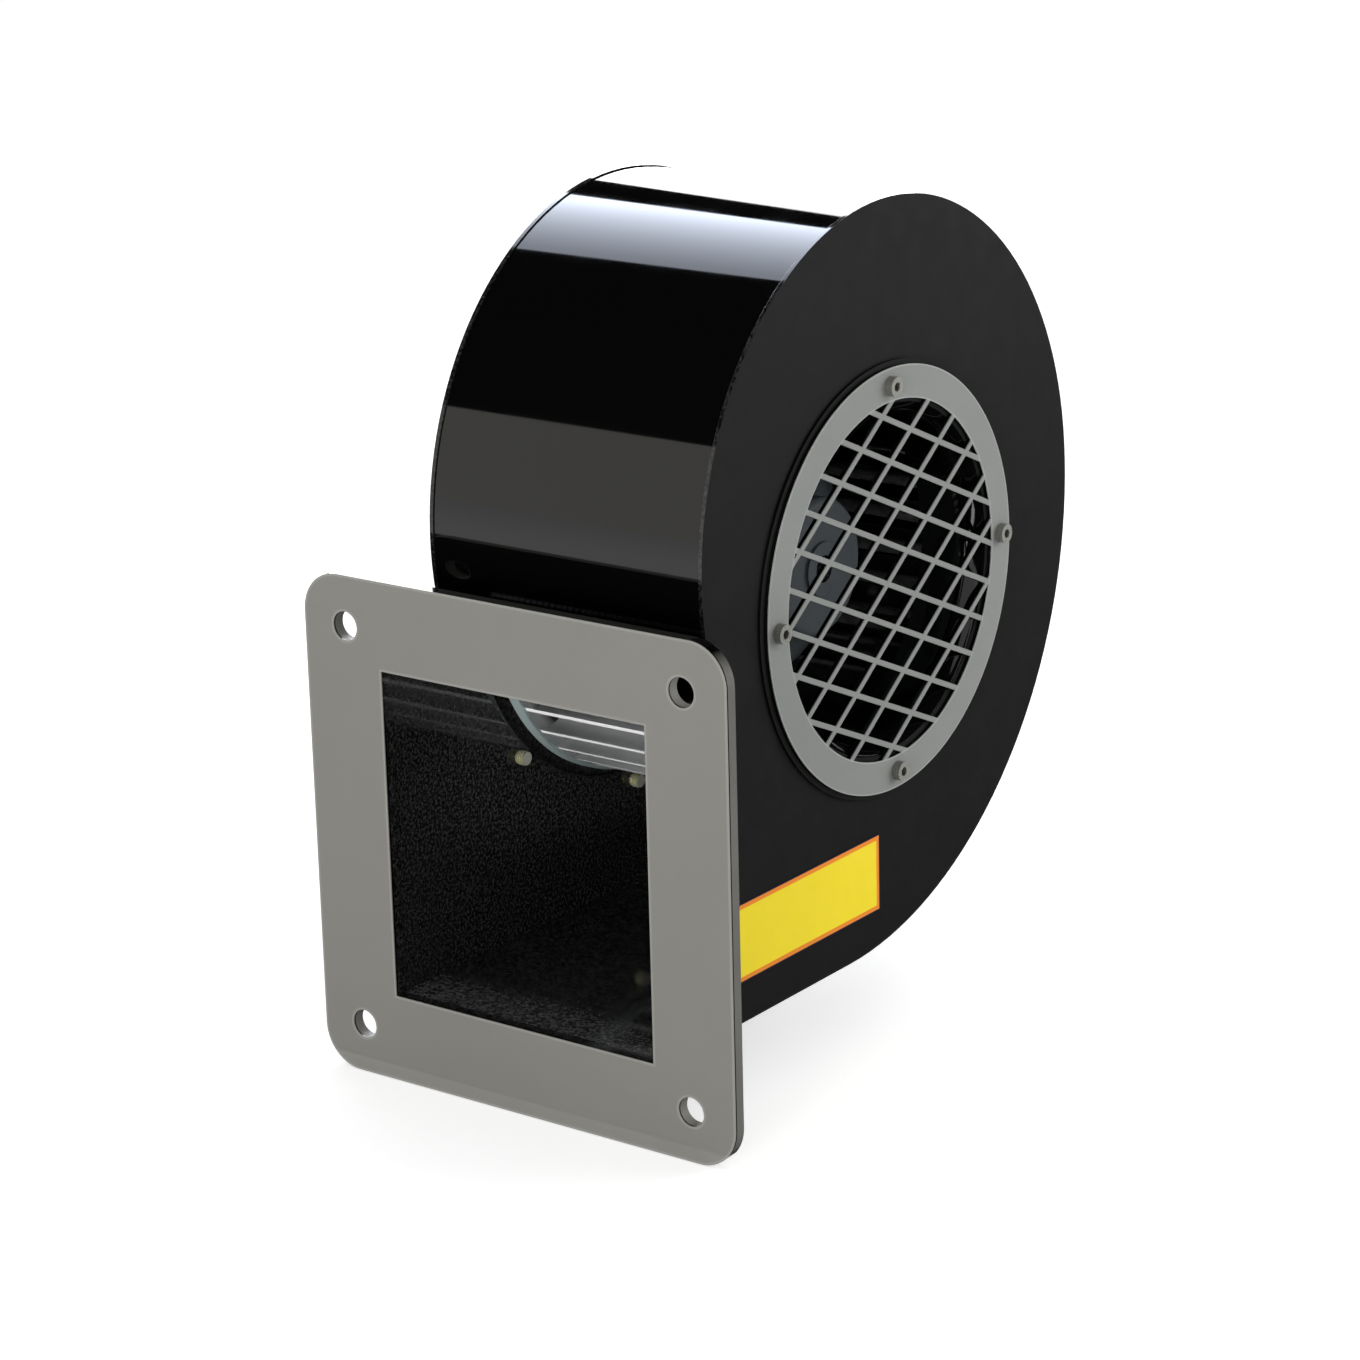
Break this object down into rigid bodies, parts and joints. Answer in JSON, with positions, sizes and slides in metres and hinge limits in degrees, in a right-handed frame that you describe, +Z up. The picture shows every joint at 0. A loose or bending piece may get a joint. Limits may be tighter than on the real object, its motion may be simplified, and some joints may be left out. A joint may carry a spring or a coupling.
{
  "type": "centrifugal blower",
  "caption": "Scroll-cased centrifugal blower with a rectangular flanged outlet, a guarded round inlet and a forward-curved wheel on an external-rotor motor.",
  "frame": {"origin": "centre of the outlet flange's front face", "axes": "-Y out of the outlet, along the leaving air; +X along the fan's axis, out of the guarded inlet; +Z up, along the scroll's height"},
  "size_m": [0.1456, 0.2126, 0.2453],
  "materials": {
    "flange_paint": "satin",
    "gloss_black": "gloss",
    "plate_black": "satin",
    "guard_paint": "satin",
    "zinc_steel": "zinc plated",
    "galvanised": "galvanised",
    "can_paint": "satin",
    "cast_aluminium": "as cast",
    "core_steel": "laminated",
    "copper_wire": "enamelled copper",
    "bearing_steel": "ground",
    "black_rubber": "matt",
    "black_plastic": "matt",
    "label_film": "bare yellow film with an orange border"
  },
  "bodies": {
    "casing": {"outlet_flange": "flange_paint", "scroll_wrap": "gloss_black", "inlet_side_plate": "plate_black", "motor_side_plate": "plate_black", "inlet_nozzle": "gloss_black", "inlet_guard": "guard_paint", "guard_screws": "zinc_steel", "guard_nuts": "zinc_steel", "rating_label": "label_film", "motor_plate": "plate_black", "motor_plate_gasket": "black_rubber", "motor_plate_screws": "zinc_steel", "motor_base": "cast_aluminium", "motor_base_screws": "zinc_steel", "cable_bush": "black_rubber", "bearing_cap": "black_plastic", "stator_core": "core_steel", "stator_winding": "copper_wire", "bearing_outer_front": "bearing_steel", "bearing_outer_rear": "bearing_steel", "preload_washer": "bearing_steel"},
    "rotor": {"rotor_can": "can_paint", "rotor_cage": "core_steel", "motor_shaft": "bearing_steel", "bearing_inner_front": "bearing_steel", "bearing_inner_rear": "bearing_steel", "shaft_circlip": "bearing_steel", "impeller_disc": "galvanised", "impeller_blades": "galvanised", "impeller_ring": "galvanised", "impeller_rivets": "zinc_steel"}
  },
  "joints": [
    {"name": "impeller_spin", "type": "hinge", "parent": "casing", "child": "rotor", "pos_m": [0, 0.1143, 0.06094], "axis": [-1, 0, 0], "continuous": true}
  ]
}
